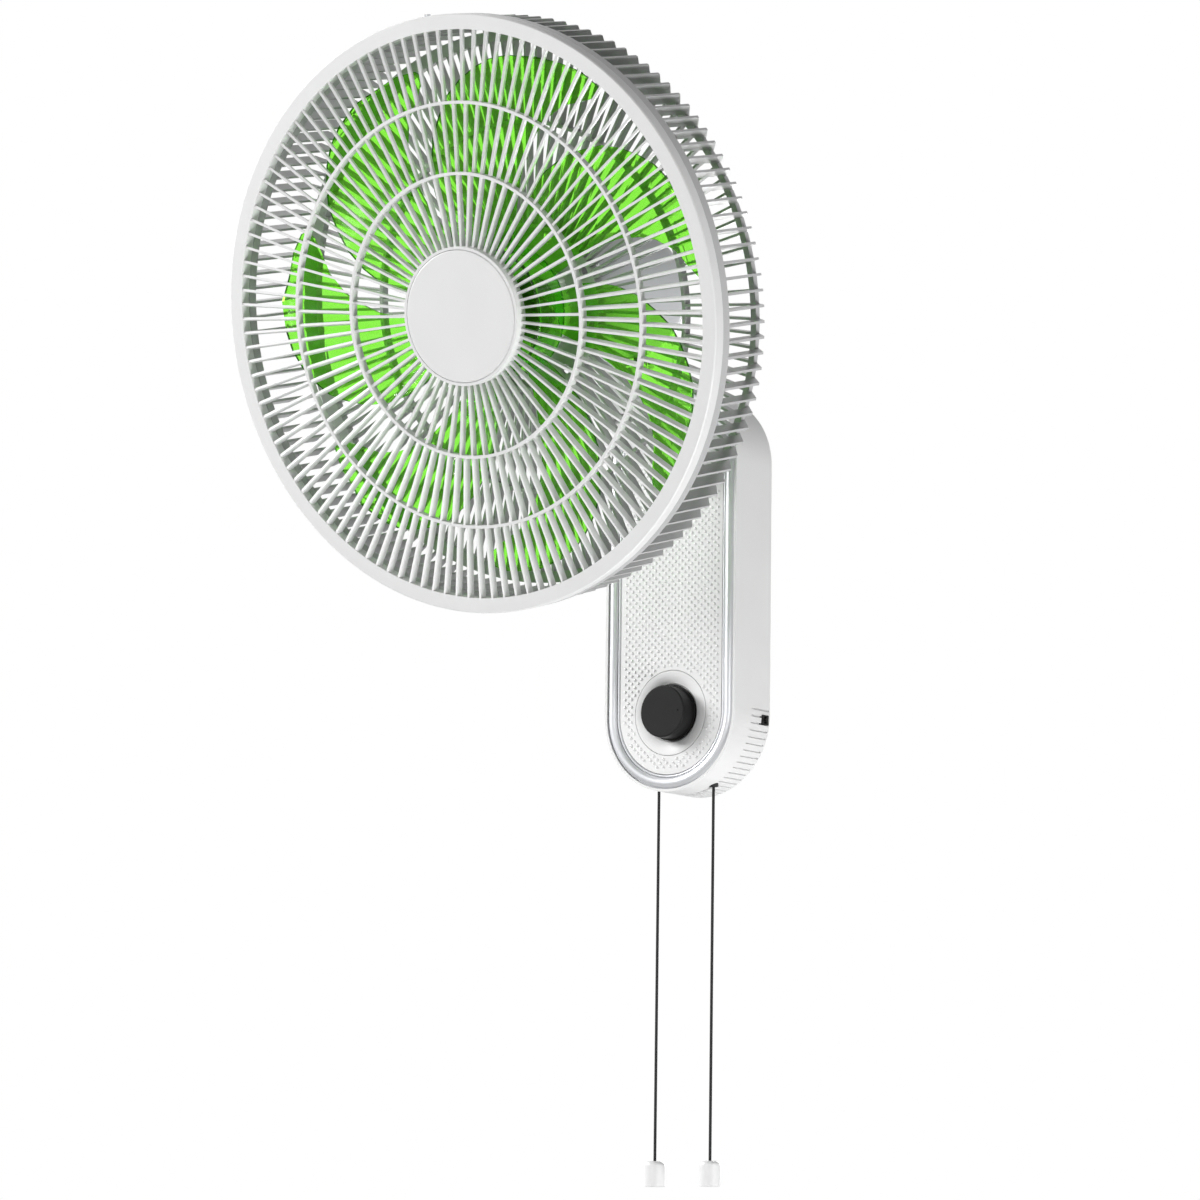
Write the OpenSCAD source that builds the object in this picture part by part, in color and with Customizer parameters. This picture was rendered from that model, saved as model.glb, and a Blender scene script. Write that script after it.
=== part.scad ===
// Wall mounted fan: a tilting, swinging fan head on a slim wall box with a knob and two pull cords.
// X points right, Y into the wall and Z up. The origin is the middle of the wall plate's back face.
// On the head, s runs back along the fan's axis from the rim's front face, and a drop is a distance
// below that axis. In the wall box, a depth is a distance from the wall towards the room.

/* [Wall box] */
// Width of the wall box
box_w = 119; // [114:1:126]
// Height of the wall box
box_h = 310; // [300:5:340]
// Depth of the wall box, from the wall to its front rim
box_d = 48; // [47:1:56]
// Wall thickness of the white mouldings
shell_t = 2.5; // [2:0.1:2.8]

/* [Guard] */
// Outside diameter of the guard's rim
guard_d = 430; // [420:1:470]
// Depth of the front guard's rim
front_rim_d = 9.4; // [9:0.1:12]
// Depth of the rear guard's rim
rear_rim_d = 7.8; // [7:0.1:10]
// Depth of the cage, from the rim's front face to the corner of the rear fins
cage_d = 66; // [62:1:72]
// Thickness of a guard rib
rib_t = 1.8; // [1.5:0.1:2.2]
// Number of rear fins, also the number of outer front ribs
fin_count = 120; // [96:12:120]

/* [Blades] */
// Number of blades
blade_count = 7; // [5:1:7]
// Diameter over the blade tips
blade_d = 378; // [360:1:382]
// Thickness of a blade
blade_t = 2.2; // [1.8:0.1:3]

/* [Motor] */
// Diameter of the motor housing
motor_d = 96; // [94:1:100]
// Diameter of the motor shaft
shaft_d = 8; // [7:0.5:9]

/* [Head] */
// Angle that the head leans down in the modelled pose
lean = 15; // [10:1:20]
// Height of the fan's axis over the tilt bolt
axis_rise = 77; // [77:1:84]

/* [Controls] */
// Diameter of the knob
knob_d = 39.5; // [34:0.5:41]
// Distance between the two pull cords
cord_gap = 50; // [48:1:56]
// Length of each cord below the box
cord_l = 280; // [200:10:400]
// Diameter of the pull cords
cord_d = 2.2; // [1.8:0.1:2.6]
// Diameter of the bells on the cords
bell_d = 15.6; // [14:0.2:18]
// Height of the bells
bell_h = 19; // [16:1:24]

/* [Hidden] */
$fn = 96;
smooth = 192;
cord_sides = 8;
full_turn = 360;
half_turn = 180;
quarter_turn = 90;
// Every cut runs this far past the face that it opens
over = 1;
// Clearance of parts that slide or turn on each other
run_gap = 0.05;
// Clearance of fixed parts that stand apart
gap = 0.3;

// Shell of the wall box
box_r = box_w / 2;
lip_t = 2;
bezel_seat = 4;
front_y = box_d - bezel_seat;
front_in_y = front_y - shell_t;
inner_r = box_r - shell_t;
bezel_r = box_r - lip_t - gap / 2;
panel_seam = 0.5;
bezel_w = 10.6;
bezel_foot = 1.6;
bead_w = 7.4;
bead_r = 5;
bead_in = 0.8;
bead_crown = 0.4;
small_bead_r = 1.1;
panel_r = bezel_r - bezel_w - panel_seam;
panel_t = 2.2;
panel_y = front_y + panel_t;
plate_t = 2;
plate_side = 17;
plate_end = 45;
plate_w = box_w - 2 * plate_side;
plate_h = box_h - 2 * plate_end;
plate_hole_d = 5;
plate_hole_end = 20;
plate_hole_x = 50;
plate_hole_z = plate_h - 2 * plate_hole_end;
hook_w = 16;
hook_z = 60;
hook_bar = 2;
hook_reach = 6;
hook_lip = 4;
hook_slot = 7;
cover_t = 2.5;
cover_y = plate_t + gap;
cover_in_y = cover_y + cover_t;
cover_r = inner_r - gap;
groove_y0 = 1.4;
groove_y1 = 25;
groove_w = 1.3;
groove_pitch = 5.2;
groove_floor_t = 0.8;
groove_depth = shell_t - groove_floor_t;
groove_rows_up = 1;
groove_steps = floor(PI * box_r / groove_pitch);

// Screws of the wall box
screw_d = 3;
screw_head_d = 5.6;
screw_head_h = 2;
cross_w = 1;
cross_depth = 1;
cross_share = 0.7;
boss_r = 4;
cover_screw_l = 12;
cover_bore_l = 16;
top_screw_x = 34;
top_screw_down = 27;
top_screw_z = box_h / 2 - top_screw_down;
low_screw_in = 11;
low_screw_x = box_r - low_screw_in;
low_screw_up = 95;
low_screw_z = low_screw_up - box_h / 2;
cover_screws_at = [
    [-top_screw_x, top_screw_z], [top_screw_x, top_screw_z],
    [-low_screw_x, low_screw_z], [low_screw_x, low_screw_z]
];

// Knob, its dish and its switch
knob_up = 60;
knob_z = knob_up - box_h / 2;
knob_r = knob_d / 2;
knob_sink = 1.6;
knob_y0 = front_y - knob_sink;
knob_stand = 11.2;
knob_y1 = panel_y + knob_stand;
knob_edge = 1;
knob_skirt_gap = 0.5;
knob_skirt_h = 2;
knob_bore_l = 10;
knob_dot_share = 0.74;
knob_dot_r = 0.8;
knob_dot_depth = 0.4;
knob_moat = 1.7;
dish_hole_r = knob_r + knob_moat;
dish_slope_w = 10.7;
dish_r = dish_hole_r + dish_slope_w;
dish_wall = 1.6;
dish_fall = 5;
dish_floor_in = 4.4;
dish_floor_y = front_y - dish_floor_in;
dish_floor_t = 1.5;
dish_steps = 12;
rotary_w = 28;
rotary_d = 14;
rotary_y1 = dish_floor_y - dish_floor_t;
thread_r = 4.5;
thread_l = 4;
switch_nut_r = 8;
switch_nut_h = 2;
switch_shaft_r = 3;
switch_shaft_in = 7;
tab_t = 1;
tab_w = 6;
tab_l = 7;
tab_gap = 8;

// Support arm and tilt bolt
arm_half_w = 18;
slot_half_w = 12.3;
ear_r = 12;
tilt_y = -117;
tilt_down = 21;
tilt_z = box_h / 2 - tilt_down;
arm_root_down = 27;
arm_root_h = 42;
arm_root_z1 = box_h / 2 - arm_root_down;
arm_root_z0 = arm_root_z1 - arm_root_h;
arm_root_z = (arm_root_z0 + arm_root_z1) / 2;
arm_root_y = panel_y + gap;
flange_t = 4;
flange_half_w = 27;
arm_screw_x = 22.6;
arm_screw_edge = 4;
arm_screw_z = arm_root_h / 2 - arm_screw_edge;
slot_r = 18;
lead_hole_r = 4;
lead_hole_l = 30;
bolt_r = 3;
bolt_head_r = 5.5;
bolt_head_h = 4;
bolt_tip = 6;
tilt_nut_h = 4.5;

// Neck and swing link
shelf_up = 19;
shelf_drop = axis_rise - shelf_up;
neck_r = 14;
neck_waist = 12.6;
knuckle_half_w = 12.2;
knuckle_r = 11;
post_r = 6;
bush_t = 3;
bush_l = 12;
post_tip = 0.5;
ear_plate_r = 5.6;
ear_plate_t = 4;
washer_t = 5;
washer_r = 8.5;
link_t = 2.4;
link_over_shelf = 2.9;
link_drop0 = shelf_drop - link_over_shelf;
link_eye_r = 4.6;
link_pin_r = 2;
link_pin_x = 14;
link_pin_head_r = 2.9;
link_pin_head_h = 0.8;
link_hole_r = 2.4;
pan_s = 180;
crank_x = 6;
crank_s = 203;
crank_r = 12;
crank_throw = 9;
crank_pin_r = 2;
crank_t = 2.9;
crank_over_shelf = 8.5;
crank_drop0 = shelf_drop - crank_over_shelf;
crank_pin_l = 2.1;
crank_shaft_r = 3;
crank_shaft_in = 8;

// Guards
guard_r = guard_d / 2;
rim_face_w = 11;
rim_in_r = guard_r - rim_face_w;
rim_wall_t = 2.8;
rim_skin_t = 2.2;
rim_inner_d = 8.6;
rim_edge = 0.8;
rib_s0 = 0.4;
rib_s1 = 5.2;
ring_s1 = 5.6;
rib_lean = 15;
rib_bite = 0.3;
cap_r = 50;
cap_s = -5;
cap_t = 2.4;
cap_floor_s = 3;
cap_floor_t = 2;
cap_peg_r = 3;
cap_peg_at = 30;
cap_edge = 1;
cap_seat_r = 47.9;
peg_angles = [90, 210, 330];
ring_t = 2.2;
ring_proud = 1;
ring_inner_share = 0.4735;
ring_outer_share = 0.7087;
ring_inner_r = ring_inner_share * guard_r;
ring_outer_r = ring_outer_share * guard_r;
inner_rib_count = fin_count / 2;
middle_rib_count = fin_count * 3 / 4;
seam = 0.1;
rear_s0 = front_rim_d + seam;
rear_s1 = rear_s0 + rear_rim_d;
fin_inset = 2.2;
fin_r = guard_r - fin_inset;
fin_depth = 9;
fin_in_r = fin_r - fin_depth;
fin_chamfer = 18.6;
fin_chamfer_l = 18.7;
fin_chamfer_s = cage_d + fin_chamfer_l;
back_ring_share = 0.63;
back_ring_r = back_ring_share * guard_r;
cone_l = 21;
back_ring_s = cage_d + cone_l;
back_ring_t = 2.6;
back_rib_depth = 6.5;
rear_wall_t = 2;
corner_ring_w = 7.7;
corner_ring_in_r = fin_r - fin_chamfer;
corner_ring_r = corner_ring_in_r + corner_ring_w;
corner_ring_in_l = 7.6;
corner_ring_out_l = 5;
corner_ring_out_s = cage_d + fin_chamfer_l - fin_chamfer_l * corner_ring_w / fin_chamfer;
back_rib_count = fin_count * 2 / 3;
plate_step = 0.4;
plate_s = back_ring_s + plate_step;
hub_plate_r = 62;
hub_plate_t = 3;
hub_hole_r = 24.4;
hub_vent_count = 8;
hub_vent_r = 3.6;
hub_vent_at = 52;
collar_r = hub_hole_r - gap;
collar_in_r = 21;
collar_l = 11;
guard_nut_r = 33;
guard_nut_h = 8;
guard_nut_lobes = 12;
lobe_r = 3;
tongue_w = 12;
tongue_t = 4;
tongue_s = 3;
tongue_count = 6;
guard_screw_s = 6;
guard_screw_r = 1.5;
guard_screw_head_r = 2.8;
guard_screw_head_h = 1.4;

// Motor
motor_r = motor_d / 2;
motor_wall = 2.2;
motor_s = plate_s + hub_plate_t;
front_cover_d = 19;
joint_s = motor_s + front_cover_d;
dome_s = 208;
dome_l = 34;
dome_r = 18;
dome_steps = 12;
tail_vent_count = 14;
tail_vent_w = 3;
tail_vent_l = 9;
tail_vent_at = 30;
face_vent_count = 12;
face_vent_w = 4;
face_vent_l = 8;
face_vent_at = 40;
boss_drop = shelf_drop - washer_t;
post_boss_r = 11;
post_boss_drop = 40;
post_head_r = 9;
post_head_h = 2.5;
cradle_r = 13;
swing_motor_r = 21;
swing_motor_h = 16;
swing_motor_drop = 36;
crank_hole_r = 4;
stator_room = 8;
stator_r = motor_r - stator_room;
stator_bore_r = 20.4;
stator_in = 30;
stator_s0 = motor_s + stator_in;
stator_h = 32;
stator_s1 = stator_s0 + stator_h;
stator_slots = 16;
slot_w = 3;
slot_l = 9;
air_gap = 0.4;
rotor_r = stator_bore_r - air_gap;
rotor_over = 2;
winding_r = 28;
winding_tube_r = 5;
bracket_t = 3;
bracket_gap = 12.5;
bracket_skirt_t = 2.4;
bracket_grip = 8;
bracket_s0 = stator_s0 - bracket_gap;
bracket_s1 = stator_s1 + bracket_gap;
bearing_l = 9;
bearing_r = 8.5;
bearing_wall = 3;
shaft_r = shaft_d / 2;
shaft_s0 = 15;
shaft_s1 = bracket_s1 + bearing_l;
motor_bolt_r = 1.8;
motor_bolt_edge = 3.6;
motor_bolt_at = stator_r - motor_bolt_edge;
motor_bolt_head_r = 3.4;
motor_bolt_head_h = 2.4;
standoff_r = 3.6;
lip_l = 7;
lip_wall = 2.2;
housing_screw_count = 3;
housing_screw_r = 1.4;
housing_screw_head_r = 2.6;
housing_screw_head_h = 1.2;
slot_fill_r0 = 23.6;
slot_fill_r1 = 29.2;
slot_fill_w = 2.6;
bolt_angles = [45, 135, 225, 315];

// Blades: each station has its share of the way from hub to tip, and its edges' angles and depths
blade_r = blade_d / 2;
blade_radius_shares = [
    0, 0.115, 0.235, 0.365, 0.485, 0.605, 0.695, 0.79, 0.855, 0.91, 0.955, 0.98, 1
];
lead_angles = [24, 23.5, 22.5, 21.2, 19.2, 16, 13, 8.5, 3.5, 0.5, -0.5, 0.5, 5];
trail_angles = [60.5, 60, 59.3, 57, 53.7, 49.5, 45.3, 41, 36.5, 32, 27.5, 23, 16];
lead_s = [56, 55, 54, 52.5, 51, 49.5, 48, 46.5, 45, 44, 43, 42, 40];
trail_s = [31, 30.5, 30, 29.5, 29, 28.5, 28, 28, 28, 28, 28.5, 29, 30];
camber_l = 2.5;
chord_steps = 6;
blade_phase = 0.6;
hub_r = 48;
blade_root_in = 2;
blade_root_r = hub_r - blade_root_in;
hub_s0 = 26;
hub_s1 = 58;
hub_wall = 2.4;
hub_round = 3;
hub_boss_r = 10;
hub_boss_s1 = 54;
hub_ribs = 6;
hub_rib_s1 = 40;
drive_pin_s = 51;
blade_nut_r = 17;
blade_nut_l = 12;
blade_nut_round = 3;
blade_nut_flutes = 12;
flute_r = 2;
drive_pin_r = 1.5;
drive_pin_l = 18;

// Cords and their switches
cord_x = cord_gap / 2;
cord_y = -box_d / 2;
cord_r = cord_d / 2;
exit_z = -box_h / 2 + box_r - sqrt(box_r * box_r - cord_x * cord_x);
eyelet_r = 3.6;
cord_play = 0.25;
eyelet_bore_r = cord_r + cord_play;
eyelet_below = 0.8;
eyelet_above = 7;
eyelet_flange_r = 4.6;
eyelet_flange_h = 1.6;
cord_top_z = exit_z - eyelet_below;
ferrule_up = 22;
ferrule_z = exit_z + ferrule_up;
ferrule_r = 2.2;
ferrule_h = 4;
pull_w = 16;
pull_d = 16;
pull_h = 26;
pull_up = 31;
pull_z = exit_z + pull_up;
pull_bore_l = 20;
rod_r = 1.6;
rod_in = 4;
cord_rings = 38;
bell_r = bell_d / 2;
bell_round = 3.4;
bell_round_steps = 8;
bell_side = [-1, 1];

// Slide switch, mains inlet and electrical parts
mode_w = 8.8;
mode_h = 7.2;
mode_y = 6.8;
mode_up = 55;
mode_z = mode_up - box_h / 2;
mode_in = 9;
mode_out = 0.6;
mode_window_w = 3.4;
mode_window_h = 5.6;
slider_w = 2.8;
slider_h = 2.4;
slider_out = 1.6;
slider_l = 5;
grommet_y = 16;
grommet_z = -30;
grommet_r = 6;
grommet_lip = 1.5;
grommet_bore_r = 3.4;
terminal_w = 46;
terminal_h = 16;
terminal_d = 12;
terminal_z = 20;
terminal_ways = 5;
terminal_hole_r = 2.4;
terminal_hole_l = 8;
capacitor_w = 38;
capacitor_h = 26;
capacitor_d = 18;
capacitor_z = -16;
capacitor_ear = 5;

// Gives a flat shape, drawn in X and Z, a thickness t that starts at a depth from the wall
module slab(y, t) {
    translate([0, -y, 0]) rotate([90, 0, 0]) linear_extrude(t) children();
}

// Upright shape with round ends
module stadium(r, h) {
    square([2 * r, h - 2 * r], center = true);
    for (k = [-1, 1])
        translate([0, k * (h / 2 - r)]) circle(r, $fn = smooth);
}

// The same shape, drawn in from the box's outline so that its side has radius r
module box_outline(r) {
    stadium(r, box_h - 2 * (box_r - r));
}

// Sweeps a profile of radius and depth round the box's outline
module round_the_box() {
    straight = box_h - box_w;
    for (a = [0, half_turn]) {
        rotate([0, a, 0]) translate([0, 0, -straight / 2])
            linear_extrude(straight) mirror([0, 1]) children();
        rotate([0, a, 0]) translate([0, 0, straight / 2]) rotate([90, 0, 0])
            rotate_extrude(angle = half_turn, $fn = smooth) children();
    }
}

// Places children on the head, with Y as s and minus Z as the drop
module on_head() {
    translate([0, tilt_y, tilt_z]) rotate([lean, 0, 0]) translate([0, -pan_s, axis_rise])
        children();
}

// Turns children so that their Z is s
module on_axis(s = 0) {
    translate([0, s, 0]) rotate([-90, 0, 0]) children();
}

// Upright post, ring or hole on the head, from one drop to another
module upright(x, s, drop0, drop1, r) {
    translate([x, s, -drop1]) cylinder(r = r, h = drop1 - drop0);
}

// Ring about the fan's axis
module ring(r_out, r_in, s0, s1) {
    on_axis(s0) difference() {
        cylinder(r = r_out, h = s1 - s0, $fn = smooth);
        translate([0, 0, -over]) cylinder(r = r_in, h = s1 - s0 + 2 * over, $fn = smooth);
    }
}

// Screw along +Z, with the underside of its cross-slotted head at the origin
module screw(r, length, head_r, head_h) {
    cylinder(r = r, h = length);
    translate([0, 0, -head_h]) difference() {
        cylinder(r = head_r, h = head_h);
        for (a = [0, quarter_turn])
            rotate(a)
                cube([2 * head_r * cross_share, cross_w, 2 * cross_depth], center = true);
    }
}

// Repeats children at the four arm screws, in X and Z
module at_arm_screws() {
    for (i = [-1, 1], k = [-1, 1])
        translate([i * arm_screw_x, arm_root_z + k * arm_screw_z]) children();
}

module wall_plate() {
    color("silver") {
        slab(0, plate_t) difference() {
            stadium(plate_w / 2, plate_h);
            for (i = [-1, 1], k = [-1, 1])
                translate([i * plate_hole_x / 2, k * plate_hole_z / 2])
                    circle(d = plate_hole_d);
        }
        for (k = [-1, 1])
            translate([0, 0, k * hook_z]) {
                slab(plate_t, hook_reach) square([hook_w, hook_bar], center = true);
                slab(plate_t + hook_reach - hook_bar, hook_bar)
                    translate([-hook_w / 2, 0]) square([hook_w, hook_lip]);
            }
    }
}

module back_cover() {
    color("whitesmoke") slab(cover_y, cover_t) difference() {
        box_outline(cover_r);
        for (p = cover_screws_at)
            translate(p) circle(r = screw_d / 2 + run_gap);
        translate([box_r + mode_out - mode_in - gap, mode_z - mode_h / 2 - gap])
            square([mode_in, mode_h + 2 * gap]);
        for (k = [-1, 1])
            translate([-hook_w / 2 - gap, k * hook_z + hook_bar / 2 + run_gap - hook_slot])
                square([hook_w + 2 * gap, hook_slot]);
    }
}

// Repeats children where the grooves lie, with X pointing out of the box
module at_grooves() {
    for (i = [-1, 1], k = [1 : groove_rows_up])
        translate([0, 0, (k - 0.5) * groove_pitch]) rotate([0, i > 0 ? 0 : half_turn, 0])
            children();
    for (k = [1 : groove_steps])
        rotate([0, (k - 0.5) * half_turn / groove_steps, 0]) children();
}

module housing() {
    color("whitesmoke") difference() {
        union() {
            difference() {
                slab(0, box_d) box_outline(box_r);
                slab(-over, front_in_y + over) box_outline(inner_r);
            }
            for (p = cover_screws_at)
                slab(cover_in_y, front_in_y - cover_in_y + over) translate(p) circle(r = boss_r);
        }
        slab(front_y, bezel_seat + over) box_outline(box_r - lip_t);
        for (p = cover_screws_at)
            slab(cover_in_y - over, cover_bore_l) translate(p) circle(d = screw_d);
        slab(front_in_y - over, shell_t + 2 * over) {
            translate([0, knob_z]) circle(r = dish_hole_r + dish_wall + gap);
            translate([0, arm_root_z])
                square([2 * arm_half_w + 2 * gap, arm_root_h + 2 * gap], center = true);
            at_arm_screws() circle(r = screw_d / 2 + run_gap);
        }
        translate([0, 0, -box_h / 2 + box_r]) at_grooves()
            translate([box_r - groove_depth, -groove_y1, -groove_w / 2])
                cube([shell_t + groove_depth, groove_y1 - groove_y0, groove_w]);
        for (i = bell_side)
            translate([i * cord_x, cord_y, -box_h / 2 - over])
                cylinder(r = eyelet_r + run_gap, h = box_r);
        translate([box_r - 2 * shell_t, -mode_y, mode_z])
            translate([0, -mode_w / 2 - run_gap, -mode_h / 2 - run_gap])
                cube([4 * shell_t, mode_w + 2 * run_gap, mode_h + 2 * run_gap]);
        translate([-box_r - over, -grommet_y, grommet_z]) rotate([0, 90, 0])
            cylinder(r = grommet_r + run_gap, h = shell_t + 2 * over);
    }
}

// Round bead with a smaller bead beside the panel
module bezel() {
    crown = box_d + bead_crown;
    bead_at = bezel_r - bead_in - bead_w / 2;
    color("lightsteelblue") round_the_box() {
        translate([bezel_r - bezel_w, front_y]) square([bezel_w, bezel_foot]);
        intersection() {
            translate([bead_at, crown - bead_r]) circle(r = bead_r);
            translate([bead_at - bead_w / 2, front_y]) square([bead_w, box_d]);
        }
        intersection() {
            translate([bezel_r - bezel_w + small_bead_r, front_y + bezel_foot])
                circle(r = small_bead_r);
            translate([0, front_y]) square([box_w, box_d]);
        }
    }
}

module front_panel() {
    color("whitesmoke") slab(front_y, panel_t) difference() {
        box_outline(panel_r);
        translate([0, knob_z]) circle(r = dish_r + panel_seam);
        translate([0, arm_root_z])
            square([2 * arm_half_w + 2 * gap, arm_root_h + 2 * gap], center = true);
    }
}

// Flush at the panel, then curving down into the knob's well
function dish_curve() = [
    for (k = [0 : dish_steps])
        let (a = quarter_turn * k / dish_steps)
            [dish_hole_r + (dish_r - dish_hole_r) * (1 - sin(a)), panel_y - dish_fall * (1 - cos(a))]
];

module knob_dish() {
    well_r = dish_hole_r + dish_wall;
    color("whitesmoke") translate([0, 0, knob_z]) rotate([90, 0, 0]) difference() {
        rotate_extrude($fn = smooth) polygon(concat(
            [[dish_r, front_y]],
            dish_curve(),
            [[dish_hole_r, dish_floor_y], [0, dish_floor_y], [0, rotary_y1], [well_r, rotary_y1]],
            [[well_r, front_y]]
        ));
        cylinder(r = thread_r + run_gap, h = box_d);
    }
}

module rotary_switch() {
    color("dimgray") translate([0, -rotary_y1, knob_z]) difference() {
        union() {
            translate([-rotary_w / 2, 0, -rotary_w / 2]) cube([rotary_w, rotary_d, rotary_w]);
            rotate([90, 0, 0]) cylinder(r = thread_r, h = thread_l);
            for (i = [-1 : 1])
                translate([i * tab_gap - tab_t / 2, rotary_d - over, -tab_w / 2])
                    cube([tab_t, tab_l + over, tab_w]);
        }
        translate([0, switch_shaft_in, 0]) rotate([90, 0, 0])
            cylinder(r = switch_shaft_r + run_gap, h = box_d);
    }
}

module switch_nut() {
    color("silver") translate([0, -dish_floor_y, knob_z]) rotate([90, 0, 0]) difference() {
        cylinder(r = switch_nut_r, h = switch_nut_h, $fn = 6);
        translate([0, 0, -over]) cylinder(r = thread_r + run_gap, h = switch_nut_h + 2 * over);
    }
}

module switch_shaft() {
    shaft_l = knob_y0 + knob_bore_l - rotary_y1 + switch_shaft_in - gap;
    color("silver") translate([0, switch_shaft_in - run_gap - rotary_y1, knob_z])
        rotate([90, 0, 0])
            cylinder(r = switch_shaft_r, h = shaft_l);
}

module knob() {
    l = knob_y1 - knob_y0;
    color([0.16, 0.16, 0.16]) translate([0, -knob_y0, knob_z]) rotate([90, 0, 0]) {
        difference() {
            rotate_extrude($fn = smooth) {
                square([dish_hole_r - knob_skirt_gap, knob_skirt_h]);
                square([knob_r, l - knob_edge]);
                square([knob_r - knob_edge, l]);
                translate([knob_r - knob_edge, l - knob_edge]) circle(r = knob_edge);
            }
            translate([0, 0, -over])
                cylinder(r = switch_shaft_r + run_gap / 2, h = knob_bore_l + over);
            translate([knob_r * knob_dot_share, 0, l - knob_dot_depth])
                cylinder(r = knob_dot_r, h = over);
        }
    }
}

// Place where the arm's edge, drawn from its root at height z, touches the ear; side is -1 or 1
function ear_touch(z, side) =
    let (
        to = [-arm_root_y - tilt_y, z - tilt_z],
        a = atan2(to[1], to[0]) + side * acos(ear_r / norm(to))
    )
        [tilt_y + ear_r * cos(a), tilt_z + ear_r * sin(a)];

module support_arm() {
    color("whitesmoke") difference() {
        union() {
            rotate([90, 0, 90]) linear_extrude(2 * arm_half_w, center = true) {
                translate([tilt_y, tilt_z]) circle(r = ear_r, $fn = smooth);
                polygon([
                    ear_touch(arm_root_z1, 1), [tilt_y, tilt_z], ear_touch(arm_root_z0, -1),
                    [-arm_root_y, arm_root_z0], [over - front_in_y, arm_root_z0],
                    [over - front_in_y, arm_root_z1], [-arm_root_y, arm_root_z1]
                ]);
            }
            slab(front_in_y - flange_t, flange_t) translate([0, arm_root_z])
                square([2 * flange_half_w, arm_root_h], center = true);
        }
        translate([-slot_half_w, tilt_y, tilt_z]) rotate([0, 90, 0])
            cylinder(r = slot_r, h = 2 * slot_half_w);
        translate([-arm_half_w - over, tilt_y, tilt_z]) rotate([0, 90, 0])
            cylinder(r = bolt_r + run_gap, h = 2 * arm_half_w + 2 * over);
        slab(front_in_y - flange_t - over, flange_t + 2 * over)
            at_arm_screws() circle(r = screw_d / 2 + run_gap);
        slab(front_in_y - flange_t - over, lead_hole_l)
            translate([0, arm_root_z0 + 2 * lead_hole_r]) circle(r = lead_hole_r);
    }
}

module arm_screws() {
    color("silver") translate([0, flange_t - front_in_y, 0]) rotate([90, 0, 0]) at_arm_screws()
        screw(screw_d / 2, flange_t + shell_t - gap, screw_head_d / 2, screw_head_h);
}

module cover_screws() {
    color("silver") for (p = cover_screws_at)
        translate([p[0], -cover_y, p[1]]) rotate([90, 0, 0])
            screw(screw_d / 2, cover_screw_l, screw_head_d / 2, screw_head_h - gap);
}

module terminal_block() {
    color("ivory") translate([0, -cover_in_y, terminal_z]) difference() {
        translate([-terminal_w / 2, -terminal_d, -terminal_h / 2])
            cube([terminal_w, terminal_d, terminal_h]);
        for (i = [0 : terminal_ways - 1])
            translate([(i - (terminal_ways - 1) / 2) * terminal_w / terminal_ways, -terminal_d - over, 0])
                rotate([-90, 0, 0]) cylinder(r = terminal_hole_r, h = terminal_hole_l);
    }
}

module run_capacitor() {
    color("gainsboro") translate([0, -cover_in_y, capacitor_z]) {
        translate([-capacitor_w / 2, -capacitor_d, -capacitor_h / 2])
            cube([capacitor_w, capacitor_d, capacitor_h]);
        translate([-capacitor_w / 2 - capacitor_ear, -plate_t, -capacitor_h / 4])
            cube([capacitor_w + 2 * capacitor_ear, plate_t, capacitor_h / 2]);
    }
}

// Pull switch on side i, with a bore that its rod slides in
module pull_switch(i) {
    color("dimgray") translate([i * cord_x, 0, pull_z]) difference() {
        translate([-pull_w / 2, cord_y - pull_d / 2, 0])
            cube([pull_w, pull_d / 2 - cord_y - cover_in_y, pull_h]);
        translate([0, cord_y, -over]) cylinder(r = rod_r + run_gap, h = pull_bore_l);
    }
}

module pull_switch_left() {
    pull_switch(-1);
}

module pull_switch_right() {
    pull_switch(1);
}

// Steel rod that slides in its switch, ending on the cord's ferrule
module pull_rod(i) {
    z0 = ferrule_z + ferrule_h;
    color("silver") translate([i * cord_x, cord_y, z0])
        cylinder(r = rod_r, h = pull_z + pull_bore_l - rod_in - z0);
}

module pull_rod_left() {
    pull_rod(-1);
}

module pull_rod_right() {
    pull_rod(1);
}

// Cord inside the box, from the eyelet's mouth to the ferrule
module inner_cord(i) {
    color([0.15, 0.15, 0.15]) translate([i * cord_x, cord_y, cord_top_z]) {
        cylinder(r = cord_r, h = ferrule_z - cord_top_z + over);
        translate([0, 0, ferrule_z - cord_top_z]) cylinder(r = ferrule_r, h = ferrule_h);
    }
}

module inner_cord_left() {
    inner_cord(-1);
}

module inner_cord_right() {
    inner_cord(1);
}

module cord_eyelets() {
    color([0.12, 0.12, 0.12]) for (i = bell_side)
        translate([i * cord_x, cord_y, exit_z]) difference() {
            union() {
                translate([0, 0, -eyelet_below]) cylinder(r = eyelet_r, h = eyelet_below + eyelet_above);
                translate([0, 0, eyelet_above - eyelet_flange_h])
                    cylinder(r = eyelet_flange_r, h = eyelet_flange_h);
            }
            translate([0, 0, -eyelet_below - over]) cylinder(r = eyelet_bore_r, h = 3 * eyelet_above);
        }
}

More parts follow.
